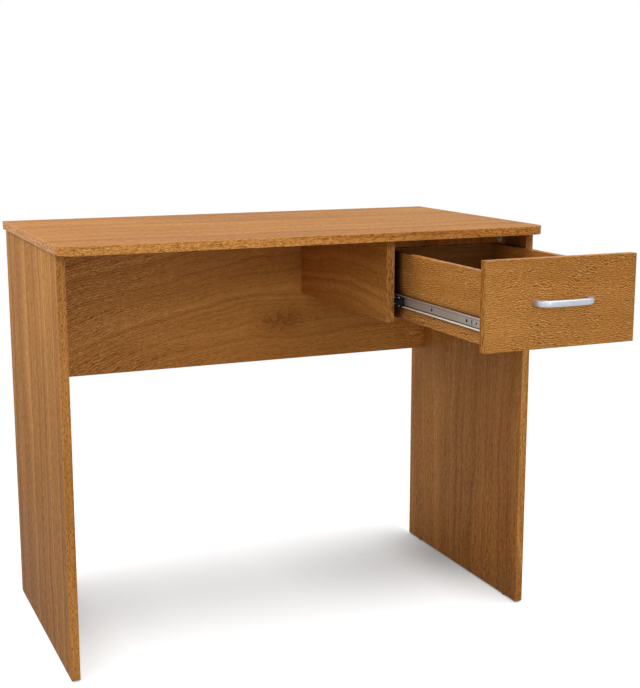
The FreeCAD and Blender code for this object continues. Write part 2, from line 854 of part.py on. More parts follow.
def handle_screw_places():
    half = handle_centres / 2
    return [Vector(handle_x + side * half, front_y1, handle_z) for side in (-1, 1)]


def make_handle_screws():
    return [pan_screw(place, FRONT, handle_screw_radius, handle_screw_length, small_head_radius,
                      small_head_height) for place in handle_screw_places()]


def make_drawer_handle():
    left = handle_posts(handle_section())
    middle = Vector(handle_x, 0, 0)
    right = [piece.mirror(middle, RIGHT) for piece in left]
    bar = left[0].fuse(left[1:] + right).removeSplitter()
    mouths = [place + FRONT * board for place in handle_screw_places()]
    return bar.cut([hole(handle_screw_radius + fit, mouth, FRONT, handle_thread_depth) for mouth in mouths])


# Every node of the desk

def build():
    save("desk_top", make_desk_top())
    save("top_edge_band", make_top_edge_band())
    save("left_side_panel", make_side_panel(-1))
    save("right_side_panel", make_side_panel(1))
    save("left_panel_edge_bands", *panel_bands(-1))
    save("right_panel_edge_bands", *panel_bands(1))
    save("modesty_panel", make_modesty_panel())
    save("modesty_edge_band", make_modesty_edge_band())
    save("drawer_partition", make_drawer_partition())
    save("partition_edge_bands", *make_partition_edge_bands())
    for name, place in glide_places().items():
        save(name, make_glide(place))
    save("glide_nails", *make_glide_nails())
    save("top_dowels", *make_top_dowels())
    save("modesty_dowels", modesty_dowel(-1, 0), modesty_dowel(1, 0))
    save("modesty_cam_locks", *make_modesty_cam_locks())
    save("modesty_cam_bolts", *make_modesty_cam_bolts())
    save("partition_screws", *[flat_screw(*data) for data in partition_screw_data()])
    save("corner_brackets", *make_corner_brackets())
    save("bracket_screws", *[pan_screw(*data) for data in bracket_screw_data()])
    for name in ("left", "right"):
        save(name + "_slide_cabinet_rail", make_cabinet_rail(name))
        save(name + "_slide_middle_member", make_middle_member(name))
        save(name + "_slide_drawer_channel", make_drawer_channel(name))
        outer = (name, 0, outer_cage_y0, outer_cage_length)
        inner = (name, half_gap, inner_cage_y0, inner_cage_length)
        save(name + "_outer_ball_cage", make_cage(*outer))
        save(name + "_outer_balls", *make_balls(*outer))
        save(name + "_inner_ball_cage", make_cage(*inner))
        save(name + "_inner_balls", *make_balls(*inner))
        save("drawer_" + name + "_side", make_drawer_side(name))
    rail_screws = rail_screw_data("left") + rail_screw_data("right")
    save("cabinet_rail_screws", *[flat_screw(*data) for data in rail_screws])
    channel_screws = channel_screw_data("left") + channel_screw_data("right")
    save("drawer_channel_screws", *[flat_screw(*data) for data in channel_screws])
    save("drawer_front", make_drawer_front())
    save("drawer_front_edge_bands", *make_drawer_front_edge_bands())
    save("drawer_back", make_drawer_back())
    save("drawer_bottom", make_drawer_bottom())
    save("drawer_box_edge_bands", *make_drawer_box_edge_bands())
    save("drawer_cam_locks", *make_drawer_cam_locks())
    save("drawer_cam_bolts", *make_drawer_cam_bolts())
    save("drawer_back_screws", *[flat_screw(*data) for data in back_screw_data()])
    save("drawer_bottom_screws", *[pan_screw(*data) for data in bottom_screw_data()])
    save("drawer_handle", make_drawer_handle())
    save("handle_screws", *make_handle_screws())


os.makedirs("parts", exist_ok=True)
build()
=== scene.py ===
import json
import math

import bmesh
import bpy
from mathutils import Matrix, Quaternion, Vector

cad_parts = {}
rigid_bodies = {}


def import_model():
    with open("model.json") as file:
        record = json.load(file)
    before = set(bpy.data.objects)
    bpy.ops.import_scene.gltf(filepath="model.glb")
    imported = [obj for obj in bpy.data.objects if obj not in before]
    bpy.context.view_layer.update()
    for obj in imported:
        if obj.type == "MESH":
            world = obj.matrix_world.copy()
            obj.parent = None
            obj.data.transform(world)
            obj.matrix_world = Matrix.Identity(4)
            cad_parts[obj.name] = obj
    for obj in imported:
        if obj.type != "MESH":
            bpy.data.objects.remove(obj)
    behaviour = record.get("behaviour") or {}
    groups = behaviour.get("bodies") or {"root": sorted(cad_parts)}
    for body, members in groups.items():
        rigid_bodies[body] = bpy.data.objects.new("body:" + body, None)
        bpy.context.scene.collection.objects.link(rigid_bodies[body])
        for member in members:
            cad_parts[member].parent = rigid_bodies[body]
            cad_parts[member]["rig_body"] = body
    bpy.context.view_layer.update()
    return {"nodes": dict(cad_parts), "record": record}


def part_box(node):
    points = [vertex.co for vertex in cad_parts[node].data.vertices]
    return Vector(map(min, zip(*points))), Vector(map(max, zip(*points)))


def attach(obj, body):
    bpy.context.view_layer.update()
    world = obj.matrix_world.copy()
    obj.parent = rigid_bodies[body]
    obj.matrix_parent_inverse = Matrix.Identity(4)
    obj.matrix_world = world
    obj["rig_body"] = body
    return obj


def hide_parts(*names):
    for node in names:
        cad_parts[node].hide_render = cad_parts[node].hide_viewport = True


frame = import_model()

nodes = frame["nodes"]
slots = {row["node"]: row["material_slot"] for row in frame["record"]["subparts"]}


# Node helpers: how far a normal turns at an arris, as the cosines where the edge begins and is full

EDGE_TURN = (0.98, 0.75)


class Tree:
    # The nodes of a material or a world, with short ways to add and join them.
    def __init__(self, owner):
        owner.use_nodes = True
        self.owner = owner
        self.nodes = owner.node_tree.nodes
        self.links = owner.node_tree.links

    def add(self, kind, **settings):
        node = self.nodes.new("ShaderNode" + kind)
        for key, value in settings.items():
            setattr(node, key, value)
        return node

    def feed(self, socket, value):
        # A socket takes a link from another socket, or a constant.
        if hasattr(value, "links"):
            self.links.new(value, socket)
        else:
            socket.default_value = value

    def set(self, name, value):
        self.feed(self.nodes["Principled BSDF"].inputs[name], value)

    def math(self, operation, a, b=0.0, clamp=False):
        node = self.add("Math", operation=operation, use_clamp=clamp)
        self.feed(node.inputs[0], a)
        self.feed(node.inputs[1], b)
        return node.outputs[0]

    def plus(self, a, b):
        return self.math("ADD", a, b)

    def minus(self, a, b):
        return self.math("SUBTRACT", a, b)

    def times(self, a, b):
        return self.math("MULTIPLY", a, b)

    def size(self, value):
        return self.math("ABSOLUTE", value)

    def squared(self, value, unit):
        return self.math("POWER", self.size(self.math("DIVIDE", value, unit)), 2.0)

    def swing(self, value, amount):
        # A noise, which lies about a half, turned into a shift about nought.
        return self.times(self.minus(value, 0.5), amount)

    def scaled(self, values, scales):
        # A place whose three values are stretched by three scales.
        node = self.add("CombineXYZ")
        for socket, value, scale in zip(node.inputs, values, scales):
            self.feed(socket, self.times(value, scale))
        return node.outputs[0]

    def noise_from(self, dimensions, socket, value, detail, rough):
        node = self.add("TexNoise", noise_dimensions=dimensions)
        self.links.new(value, node.inputs[socket])
        for name, number in (("Scale", 1.0), ("Detail", detail), ("Roughness", rough)):
            node.inputs[name].default_value = number
        return node.outputs[0]

    def noise(self, place, detail, rough):
        return self.noise_from("3D", "Vector", place, detail, rough)

    def line_noise(self, value, detail, rough):
        return self.noise_from("1D", "W", value, detail, rough)

    def ramp(self, value, stops):
        node = self.add("ValToRGB")
        self.links.new(value, node.inputs[0])
        points = node.color_ramp.elements
        while len(points) < len(stops):
            points.new(0.5)
        for point, (place, colour) in zip(points, stops):
            point.position = place
            point.color = (*colour, 1.0)
        return node.outputs[0]

    def span(self, value, low, high, to_low=0.0, to_high=1.0, kind="LINEAR"):
        # Carries the range from low to high over to another one, and holds its ends outside.
        node = self.add("MapRange", interpolation_type=kind)
        self.links.new(value, node.inputs[0])
        for socket, number in zip(node.inputs[1:5], (low, high, to_low, to_high)):
            socket.default_value = number
        return node.outputs[0]

    def mix(self, share, a, b):
        # In a mix of colours, inputs 6 and 7 and output 2 are the colours.
        node = self.add("Mix", data_type="RGBA")
        self.feed(node.inputs[0], share)
        for socket, value in ((node.inputs[6], a), (node.inputs[7], b)):
            self.feed(socket, (*value, 1.0) if isinstance(value, tuple) else value)
        return node.outputs[2]

    def mix_shaders(self, share, first, second):
        node = self.add("MixShader")
        for socket, value in zip(node.inputs, (share, first, second)):
            self.links.new(value, socket)
        return node.outputs[0]

    def places(self):
        # The object's own place, as three separate values.
        coords = self.add("TexCoord")
        split = self.add("SeparateXYZ")
        self.links.new(coords.outputs["Object"], split.inputs[0])
        return split.outputs

    def looked_at(self):
        # One for what is seen straight or in a shine, and nought for all other light.
        path = self.add("LightPath")
        return self.math("MAXIMUM", path.outputs["Is Camera Ray"], path.outputs["Is Glossy Ray"])

    def bevel(self, radius):
        node = self.add("Bevel", samples=4)
        node.inputs["Radius"].default_value = radius
        return node.outputs[0]

    def edges(self, radius):
        # One on the arrises and nought on the flats.
        geometry = self.add("NewGeometry")
        dot = self.add("VectorMath", operation="DOT_PRODUCT")
        self.links.new(self.bevel(radius), dot.inputs[0])
        self.links.new(geometry.outputs["Normal"], dot.inputs[1])
        return self.span(dot.outputs["Value"], *EDGE_TURN)

    def hollow(self, distance):
        # Nought deep in holes and corners and one in the open.
        node = self.add("AmbientOcclusion", samples=6)
        node.inputs["Distance"].default_value = distance
        return node.outputs["AO"]

    def bump(self, height, strength, distance, normal=None):
        node = self.add("Bump")
        node.inputs["Strength"].default_value = strength
        node.inputs["Distance"].default_value = distance
        self.links.new(height, node.inputs["Height"])
        if normal is not None:
            self.links.new(normal, node.inputs["Normal"])
        self.set("Normal", node.outputs[0])


def new_tree(name):
    return Tree(bpy.data.materials.new(name))


def toned(colour, factor):
    return tuple(factor * part for part in colour)


# Oak: waves a metre along the grain, across it and through the board

SWAY_WAVES = (2.2, 5.0, 1.0)
RIPPLE_WAVES = (14.0, 34.0, 1.0)
CLOUD_WAVES = (3.0, 9.0, 1.0)
DASH_WAVES = (80.0, 560.0, 90.0)
FLECK_WAVES = (180.0, 760.0, 300.0)
WIGGLE_WAVES = (90.0, 30.0, 1.0)
SLIP_WAVES = (170.0, 220.0, 1.0)
PATCH_WAVES = (38.0, 70.0, 1.0)
LINE_WAVES = 95.0
BAND_WAVES = 22.0

# Oak: how far the grain strays, and how much the lines of the weave slip past each other

SWAY_REACH = 0.085
RIPPLE_REACH = 0.014
WIGGLE_REACH = 0.006
SLIP_ANGLE = 11.0

# Oak: what each mark adds to the tone, and where in their noises pores, patches and relief begin and end

STREAK_SHARE = 0.55
CLOUD_SHARE = 0.55
DASH_SHARE = 0.75
PORE_SHARE = 0.24
FLECK_SHARE = 0.85
DASH_LIFT_SHARE = 0.04
WEAVE_LOW_SHARE = 0.22
WEAVE_HIGH_SHARE = 0.60
PORE_SPAN = (0.36, 0.50)
PATCH_SPAN = (0.35, 0.65)
RELIEF_SPAN = (0.38, 0.52)

# Oak: a knot's reach, its pull on the grain, and where the grain leans and the weave fades

KNOT_LENGTH = 0.055
KNOT_WIDTH = 0.028
KNOT_PULL_SHARE = 0.8
KNOT_LEAN_START = 0.06
KNOT_CALM_SPAN = (0.12, 0.38, 0.1, 1.0)

# Oak: places along the grain of the painted light fade's ends, reach of hollows and nooks for painted shade,
# radii of worn edges with a painted highlight, depth of pores

FADE_START = 0.05
FADE_END = 0.60
HOLLOW_REACH = 0.14
PAINTED_NOOK_SHADE_REACH = 0.022
WORN_AND_HIGHLIT_EDGE = 0.0012
SOFT_EDGE = 0.0007
PORE_DEPTH = 0.0004

# Oak: openness from where the worn and painted edge highlight and the painted shade begin to where they are
# full, and what they are there

WEAR_AND_HIGHLIGHT_SPAN = (0.45, 0.90, 0.0, 0.45)
PAINTED_SHADE_SPAN = (0.50, 0.10, 0.0, 0.62)
PAINTED_DEEP_SHADE_SPAN = (0.20, 0.06, 0.0, 0.95)
PAINTED_NOOK_SHADE_SPAN = (0.97, 0.60, 0.0)

# Oak: colours from dark to light, of worn edges with a painted highlight, and of painted shade in hollows

OAK_STOPS = ((0.05, (0.200, 0.068, 0.008)),
             (0.36, (0.380, 0.146, 0.026)),
             (0.56, (0.475, 0.197, 0.040)),
             (0.95, (0.680, 0.340, 0.105)))
WORN_AND_HIGHLIT_OAK = (0.68, 0.36, 0.12)
PAINTED_SHADE_OAK = (0.050, 0.016, 0.002)
PAINTED_DEEP_SHADE_OAK = (0.004, 0.002, 0.001)


class Oak(Tree):
    # A board's own places. The order names the axes along the grain, across it and through the board, and
    # the shift gives each board another stretch of the figure.
    def __init__(self, name, order, shift):
        super().__init__(bpy.data.materials.new(name))
        axes = dict(zip("xyz", self.places()))
        along, across, self.through = (axes[letter] for letter in order)
        self.shift = shift
        self.along = self.plus(along, shift[0])
        self.across = self.plus(across, shift[1])
        sway = self.swing(self.figure(SWAY_WAVES, self.across, 2.0), SWAY_REACH)
        ripple = self.swing(self.figure(RIPPLE_WAVES, self.across, 2.0, 0.55), RIPPLE_REACH)
        self.grain = self.plus(self.across, self.plus(sway, ripple))
        self.knot = None

    def figure(self, waves, across, detail=1.0, rough=0.5):
        return self.noise(self.scaled((self.along, across, self.through), waves), detail, rough)

    def flow_round(self, knot_along, knot_across, lean):
        # A soft knot at a place on the board. The grain flows round it, and leans to the left of it.
        self.past_knot = self.minus(self.along, knot_along + self.shift[0])
        above = self.minus(self.grain, knot_across + self.shift[1])
        far = self.plus(self.squared(self.past_knot, KNOT_LENGTH), self.squared(above, KNOT_WIDTH))
        self.knot = self.math("EXPONENT", self.times(far, -1.0))
        left = self.math("MINIMUM", self.plus(self.past_knot, KNOT_LEAN_START), 0.0)
        drawn = self.minus(self.grain, self.times(self.times(above, self.knot), KNOT_PULL_SHARE))
        self.grain = self.plus(drawn, self.times(left, -lean))

    def streaks(self, strength):
        # Lines and broad bands along the grain, which a knot stops.
        lines = self.line_noise(self.times(self.grain, LINE_WAVES), 3.0, 0.6)
        bands = self.line_noise(self.times(self.grain, BAND_WAVES), 2.0, 0.5)
        reach = STREAK_SHARE * strength
        value = self.plus(self.swing(lines, reach), self.swing(bands, reach))
        if self.knot is not None:
            value = self.times(value, self.minus(1.0, self.knot))
        return value

    def weave(self, strength, period):
        # Fine wavy lines a period apart, stronger in some patches than in others and faint near a knot.
        wavy = self.plus(self.grain, self.swing(self.figure(WIGGLE_WAVES, self.across), WIGGLE_REACH))
        slips = self.times(self.figure(SLIP_WAVES, wavy), SLIP_ANGLE)
        waves = self.math("SINE", self.plus(self.times(wavy, 2 * math.pi / period), slips))
        patch = self.figure(PATCH_WAVES, self.across)
        reach = self.span(patch, *PATCH_SPAN, WEAVE_LOW_SHARE * strength, WEAVE_HIGH_SHARE * strength)
        waves = self.times(waves, reach)
        if self.knot is not None:
            waves = self.times(waves, self.span(self.size(self.past_knot), *KNOT_CALM_SPAN))
        return waves

    def wear_and_painted_light(self, colour, painted_light_tone, painted_nook_shade):
        # Worn and given a painted highlight on its arrises, with painted shade in hollows and, by the nook
        # shade, painted shadow close to what is screwed on it.
        open_air = self.hollow(HOLLOW_REACH)
        # Painted highlight with wear: arrises in the open turn lighter.
        wear_and_highlight = self.times(self.edges(WORN_AND_HIGHLIT_EDGE), self.span(open_air, *WEAR_AND_HIGHLIGHT_SPAN))
        shaded = self.mix(wear_and_highlight, colour, toned(WORN_AND_HIGHLIT_OAK, painted_light_tone))
        # Painted shade: hollows and corners turn darker.
        shaded = self.mix(self.span(open_air, *PAINTED_SHADE_SPAN), shaded, PAINTED_SHADE_OAK)
        # Painted shadow close to fittings, by the nook shade.
        if painted_nook_shade:
            nook_shade_mask = self.span(self.hollow(PAINTED_NOOK_SHADE_REACH), *PAINTED_NOOK_SHADE_SPAN, painted_nook_shade)
            shaded = self.mix(nook_shade_mask, shaded, PAINTED_SHADE_OAK)
        # Painted shade: deep hollows turn nearly black.
        return self.mix(self.span(open_air, *PAINTED_DEEP_SHADE_SPAN), shaded, PAINTED_DEEP_SHADE_OAK)


def wood(name, order, shift, painted_light_tone=1.0, streak=1.0, dash=1.0, fine=1.0, pitch=1.0, weave=0.0, period=0.0035,
         gloss=0.12, painted_light_fade=None, eye=None, painted_nook_shade=0.0):
    # Printed oak. Streak, dash, fine and weave are the strengths of its marks, and pitch makes dashes and
    # flecks finer. The tone is painted light and shade that scales the whole colour per board. Fade paints
    # light and shade from end to end along the grain, and eye is a knot's place, depth and lean. The nook
    # shade paints shadow close to fittings.
    t = Oak(name, order, shift)
    if eye:
        knot_along, knot_across, knot_depth, knot_lean = eye
        t.flow_round(knot_along, knot_across, knot_lean)
    cloud = t.figure(CLOUD_WAVES, t.across, 3.0, 0.55)
    finer = (pitch, pitch, 1.0)
    dashes = t.figure([a * b for a, b in zip(DASH_WAVES, finer)], t.grain)
    flecks = t.figure([a * b for a, b in zip(FLECK_WAVES, finer)], t.grain)
    value = t.plus(t.streaks(streak), t.swing(cloud, CLOUD_SHARE))
    value = t.plus(value, t.swing(dashes, DASH_SHARE * dash))
    value = t.plus(value, t.span(dashes, *PORE_SPAN, -PORE_SHARE * dash, 0.0))
    value = t.plus(value, t.swing(flecks, FLECK_SHARE * fine))
    if weave:
        value = t.plus(value, t.weave(weave, period))
    if eye:
        value = t.plus(value, t.times(t.knot, -knot_depth))
    # Painted light and shade: a gradient along the grain, such as a panel darker towards the floor.
    if painted_light_fade:
        value = t.plus(value, t.span(t.along, FADE_START + shift[0], FADE_END + shift[0], *painted_light_fade))
    value = t.plus(value, 0.5 + DASH_LIFT_SHARE * dash)
    # Painted light and shade: the tone scales the whole colour of a board.
    colour = t.ramp(value, [(place, toned(part, painted_light_tone)) for place, part in OAK_STOPS])
    t.set("Base Color", t.wear_and_painted_light(colour, painted_light_tone, painted_nook_shade))
    relief = t.span(dashes, *RELIEF_SPAN)
    dull = t.plus(t.times(cloud, 0.12), 0.47)
    t.set("Roughness", t.plus(t.times(relief, -0.10), dull))
    t.set("Specular IOR Level", gloss)
    t.bump(relief, 0.16, PORE_DEPTH, t.bevel(SOFT_EDGE))
    return t.owner


# Metal, plastic, fibre board and beech: waves a metre, hollows for painted shade, worn edges, with a painted
# highlight on metal, depths and colours

BRUSH_ALONG = 40.0
BRUSH_ACROSS = 1500.0
DULL_WAVES = (60.0, 60.0, 60.0)
SCRATCH_WAVES = (900.0, 900.0, 900.0)
MOULD_WAVES = (1800.0, 1800.0, 1800.0)
SMEAR_WAVES = (90.0, 90.0, 90.0)
FIBRE_WAVES = (700.0, 500.0, 700.0)
STAIN_WAVES = (14.0, 9.0, 1.0)
PRINT_WAVES = (24.0, 260.0, 1.0)
BEECH_ALONG = 30.0
BEECH_ACROSS = 900.0
METAL_HOLLOW = 0.006
METAL_WEAR_AND_HIGHLIGHT_SPAN = (0.50, 0.95, 0.0, 0.5)
METAL_PAINTED_SHADE_SPAN = (0.75, 0.25, 0.0, 0.92)
METAL_EDGE = 0.0004
PLASTIC_EDGE = 0.0004
FIBRE_EDGE = 0.0006
BEECH_EDGE = 0.0005
SCRATCH_DEPTH = 0.0002
FIBRE_DEPTH = 0.0003
FIBRE_STOPS = ((0.3, (0.15, 0.055, 0.014)), (0.5, (0.25, 0.10, 0.028)), (0.7, (0.34, 0.15, 0.045)))
WORN_FIBRE = (0.42, 0.24, 0.11)
BEECH_STOPS = ((0.3, (0.46, 0.27, 0.12)), (0.7, (0.66, 0.46, 0.25)))
WORN_BEECH = (0.72, 0.55, 0.34)

# Slide channel: places behind its front end, heights between which a painted shade and highlight come and
# go, and colours of the painted shade and highlight

REAR_SHADE_START = 0.02
REAR_SHADE_FULL = 0.13
LIP_TOP = (0.0024, 0.0020)
GROOVE_FOOT = (0.0023, 0.0028)
GROOVE_TOP = (0.0046, 0.0040)
HOLES_FOOT = (0.0056, 0.0060)
HOLES_TOP = (0.0154, 0.0150)
PAINTED_REAR_SHADE = (0.38, 0.29, 0.22)
PAINTED_LIP_HIGHLIGHT = (1.0, 0.96, 0.84)


def channel_painted_light(t, axes, shaded, black, rims):
    # Painted light on a slide channel: painted shade, warmed like the wood round it, towards its rear,
    # painted shadow in its groove and on its hole walls, and a painted highlight on its lower lip, strongest
    # in front. Gives the colour and the highlight.
    low, high = rims
    rise = t.minus(axes["Z"], low.z)
    # Painted shade towards the rear, warmed like the wood round it.
    painted_rear_shade = t.span(axes["Y"], low.y + REAR_SHADE_START, low.y + REAR_SHADE_FULL, 0.0, 0.6)
    shaded = t.mix(painted_rear_shade, shaded, PAINTED_REAR_SHADE)
    # Painted shadow in the groove between web and lip.
    groove_shadow = t.times(t.span(rise, *GROOVE_FOOT), t.span(rise, *GROOVE_TOP, 0.0, 0.9))
    shaded = t.mix(groove_shadow, shaded, black)
    # Painted shade on the hole walls.
    facing = t.add("SeparateXYZ")
    t.links.new(t.add("NewGeometry").outputs["Normal"], facing.inputs[0])
    wall = t.span(t.size(facing.outputs["X"]), 0.6, 0.4)
    hole_shade_band = t.times(t.span(rise, *HOLES_FOOT), t.span(rise, *HOLES_TOP))
    shaded = t.mix(t.times(wall, hole_shade_band), shaded, black)
    # Painted highlight on the lower lip, strongest in front.
    lip_highlight = t.times(t.span(rise, *LIP_TOP), t.span(axes["Y"], high.y, low.y, 0.45, 1.0))
    return t.mix(lip_highlight, shaded, PAINTED_LIP_HIGHLIGHT), lip_highlight


def metal(name, colour, rough, streak_axis="y", streaks=0.10, scratch=0.12, metallic=1.0, glance=1.0,
          rims=None):
    # Plated or brushed metal with faint lines along one axis and duller patches, worn arrises with a painted
    # highlight, and painted shade in holes and corners. Glance scales the shine at low angles, and rims are
    # the corners of a slide channel, which get painted shade and a painted lip highlight.
    t = new_tree(name)
    axes = t.places()
    brush = [BRUSH_ALONG if letter == streak_axis else BRUSH_ACROSS for letter in "xyz"]
    lines = t.noise(t.scaled(axes, brush), 2.0, 0.6)
    patches = t.noise(t.scaled(axes, DULL_WAVES), 3.0, 0.6)
    grains = t.noise(t.scaled(axes, SCRATCH_WAVES), 2.0, 0.6)
    shade = t.math("ADD", t.times(lines, streaks * 3), t.times(patches, 0.6), clamp=True)
    tint = t.mix(shade, toned(colour, 0.72), colour)
    open_air = t.hollow(METAL_HOLLOW)
    # Painted highlight with wear: arrises in the open turn lighter.
    wear_and_highlight = t.times(t.edges(METAL_EDGE), t.span(open_air, *METAL_WEAR_AND_HIGHLIGHT_SPAN))
    worn_and_highlit = t.mix(wear_and_highlight, tint, tuple(min(1.0, part) for part in toned(colour, 1.25)))
    black = toned(colour, 0.06)
    # Painted shade: holes and corners turn nearly black.
    shaded = t.mix(t.span(open_air, *METAL_PAINTED_SHADE_SPAN), worn_and_highlit, black)
    dull = t.plus(t.times(patches, 0.16), t.plus(t.times(lines, 0.08), rough - 0.10))
    if rims:
        shaded, lip_highlight = channel_painted_light(t, axes, shaded, black, rims)
        # Where the painted highlight lies, the metal turns to a bright matt cream.
        metallic = t.span(lip_highlight, 0.0, 1.0, metallic, 0.0)
        dull = t.times(dull, t.span(lip_highlight, 0.0, 1.0, 1.0, 0.5))
    t.set("Base Color", shaded)
    t.set("Metallic", metallic)
    t.set("Specular Tint", (glance, glance, glance, 1.0))
    t.set("Roughness", dull)
    t.bump(t.plus(lines, t.times(grains, 0.5)), scratch, SCRATCH_DEPTH)
    return t.owner


def plastic(name, colour, rough):
    # Moulded plastic with a fine grain and rubbed edges.
    t = new_tree(name)
    axes = t.places()
    grain = t.noise(t.scaled(axes, MOULD_WAVES), 2.0, 0.6)
    cloud = t.noise(t.scaled(axes, SMEAR_WAVES), 3.0, 0.6)
    light = tuple(1.7 * part + 0.006 for part in colour)
    rubbed = tuple(4.0 * part + 0.02 for part in colour)
    tint = t.mix(t.span(cloud, 0.3, 0.7), colour, light)
    t.set("Base Color", t.mix(t.times(t.edges(PLASTIC_EDGE), 0.6), tint, rubbed))
    t.set("Roughness", t.plus(t.times(grain, 0.2), rough - 0.1))
    t.set("Specular IOR Level", 0.1)
    t.bump(grain, 0.2, SCRATCH_DEPTH)
    return t.owner


def pressed_board(name):
    # Thin fibre board with a dark printed face.
    t = new_tree(name)
    axes = t.places()
    fibres = t.noise(t.scaled(axes, FIBRE_WAVES), 3.0, 0.65)
    cloud = t.noise(t.scaled(axes, STAIN_WAVES), 3.0, 0.6)
    lines = t.noise(t.scaled(axes, PRINT_WAVES), 2.0, 0.6)
    value = t.plus(t.times(fibres, 0.4), t.plus(t.times(cloud, 0.3), t.times(lines, 0.3)))
    colour = t.ramp(value, FIBRE_STOPS)
    t.set("Base Color", t.mix(t.times(t.edges(FIBRE_EDGE), 0.4), colour, WORN_FIBRE))
    t.set("Roughness", t.plus(t.times(fibres, 0.25), 0.5))
    t.bump(fibres, 0.15, FIBRE_DEPTH)
    return t.owner


def beech(name, axis):
    # Plain turned dowel wood with its grain along one axis.
    t = new_tree(name)
    waves = [BEECH_ALONG if letter == axis else BEECH_ACROSS for letter in "xyz"]
    fibre = t.noise(t.scaled(t.places(), waves), 3.0, 0.6)
    colour = t.ramp(fibre, BEECH_STOPS)
    t.set("Base Color", t.mix(t.times(t.edges(BEECH_EDGE), 0.4), colour, WORN_BEECH))
    t.set("Roughness", t.plus(t.times(fibre, 0.2), 0.55))
    t.bump(fibre, 0.25, FIBRE_DEPTH)
    return t.owner


# The desk's own finishes

# Both channels lie at the same height and depth, so one box serves for their painted shade and highlight.
slide_low, slide_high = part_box("left_slide_drawer_channel")
zinc = metal("zinc_steel", (0.68, 0.66, 0.65), 0.42, metallic=0.6)
channel_zinc = metal("channel_zinc", (0.66, 0.63, 0.61), 0.42, metallic=0.5, rims=(slide_low, slide_high))
# Painted light: a lighter copy of zinc for the corner brackets, which lie in shade.
painted_light_zinc = metal("painted_light_zinc", (0.93, 0.92, 0.89), 0.40, metallic=0.25)
cam_zinc = metal("cam_zinc", (0.52, 0.51, 0.50), 0.46, streaks=0.05)
black_steel = metal("black_steel", (0.022, 0.023, 0.028), 0.50, streaks=0.05, metallic=0.6, glance=0.3)
ball_steel = metal("ball_steel", (0.75, 0.76, 0.78), 0.22, streaks=0.03, scratch=0.03)
satin_metal = metal("satin_metal", (0.66, 0.68, 0.74), 0.38, streak_axis="x", streaks=0.06, scratch=0.06,
                    metallic=0.65)
black_plastic = plastic("black_plastic", (0.010, 0.011, 0.014), 0.45)
hardboard = pressed_board("hardboard")

# The tones paint light and shade per board: lighter for the partition, the modesty panel, the right panel
# and the bands, darker for the top and for the drawer's back inside.
finishes = {
    "desk_top": wood("oak_top", "xyz", (0.0, 0.0), painted_light_tone=0.89, dash=0.6, fine=0.8, pitch=1.3, gloss=0.02,
                     painted_light_fade=(0.0, 0.12)),
    "left_side_panel": wood("oak_left_panel", "zyx", (3.1, 1.7), streak=1.2, dash=0.6, gloss=0.014,
                            painted_light_fade=(-0.14, 0.06)),
    "right_side_panel": wood("oak_right_panel", "zyx", (5.3, 2.9), painted_light_tone=1.18, streak=0.8, dash=0.45,
                             fine=0.5, weave=0.22, period=0.009, gloss=0.08, painted_light_fade=(-0.20, 0.16)),
    "modesty_panel": wood("oak_modesty", "xzy", (7.7, 4.1), painted_light_tone=1.16, streak=0.8, dash=0.4, fine=0.6,
                          pitch=1.3, weave=0.50, period=0.0058, eye=(0.100, 0.524, 0.27, 0.24)),
    "drawer_partition": wood("oak_partition", "yzx", (9.2, 5.6), painted_light_tone=1.30, dash=0.4, fine=0.5),
    "drawer_front": wood("oak_drawer_front", "xzy", (11.4, 6.3), painted_light_tone=1.02, streak=0.25, dash=0.3, fine=0.8,
                         pitch=1.6, weave=0.66, painted_light_fade=(0.12, -0.08)),
    # Painted shadow round the slide on the drawer's left side.
    "drawer_left_side": wood("oak_drawer_left", "yzx", (13.1, 7.9), painted_light_tone=1.05, streak=0.3, dash=0.3,
                             fine=0.8, pitch=1.6, weave=0.68, painted_nook_shade=0.9),
    "drawer_right_side": wood("oak_drawer_right", "yzx", (15.8, 8.4), painted_light_tone=1.06, dash=0.4, fine=0.4),
    # Painted shade: the drawer's back is darkened for the shade inside the drawer.
    "drawer_back": wood("oak_drawer_back", "xzy", (17.5, 9.1), painted_light_tone=0.40, dash=0.2, fine=0.2),
    "top_edge_band": wood("oak_top_band", "xzy", (19.3, 1.1), painted_light_tone=1.20, fine=1.6, pitch=1.7),
    "left_panel_edge_bands": wood("oak_left_band", "zxy", (21.7, 2.3), painted_light_tone=1.04, dash=0.9, fine=1.3,
                                  pitch=1.7),
    "right_panel_edge_bands": wood("oak_right_band", "zxy", (23.2, 3.7), painted_light_tone=1.08, dash=0.9, fine=1.3,
                                   pitch=1.7),
    "modesty_edge_band": wood("oak_modesty_band", "xyz", (25.6, 4.9), dash=1.4),
    "partition_edge_bands": wood("oak_partition_band", "zxy", (27.1, 5.2), dash=1.4),
    "drawer_front_edge_bands": wood("oak_front_band", "xyz", (29.9, 6.8), painted_light_tone=1.08, gloss=0.06),
    "drawer_box_edge_bands": wood("oak_box_band", "yxz", (31.4, 7.3), dash=1.2),
    "top_dowels": beech("dowel_up", "z"),
    "modesty_dowels": beech("dowel_side", "x"),
    "corner_brackets": painted_light_zinc,
    "bracket_screws": cam_zinc,
    "left_slide_drawer_channel": channel_zinc,
    "right_slide_drawer_channel": channel_zinc,
}
slot_finishes = {"zinc_steel": zinc, "cam_zinc": cam_zinc, "black_steel": black_steel,
                 "black_plastic": black_plastic, "ball_steel": ball_steel, "hardboard": hardboard,
                 "satin_metal": satin_metal}
for name, node in nodes.items():
    node.data.materials.clear()
    node.data.materials.append(finishes.get(name) or slot_finishes[slots[name]])


# Finer pieces that stand for simple solids

UP = Vector((0, 0, 1))
AXES = range(3)
SAME_PLACE = 1e-6
SHARP_ANGLE = 40.0


def limits(group):
    # The lower and the upper corner of a group of places.
    low = Vector([min(v[i] for v in group) for i in AXES])
    high = Vector([max(v[i] for v in group) for i in AXES])
    return low, high


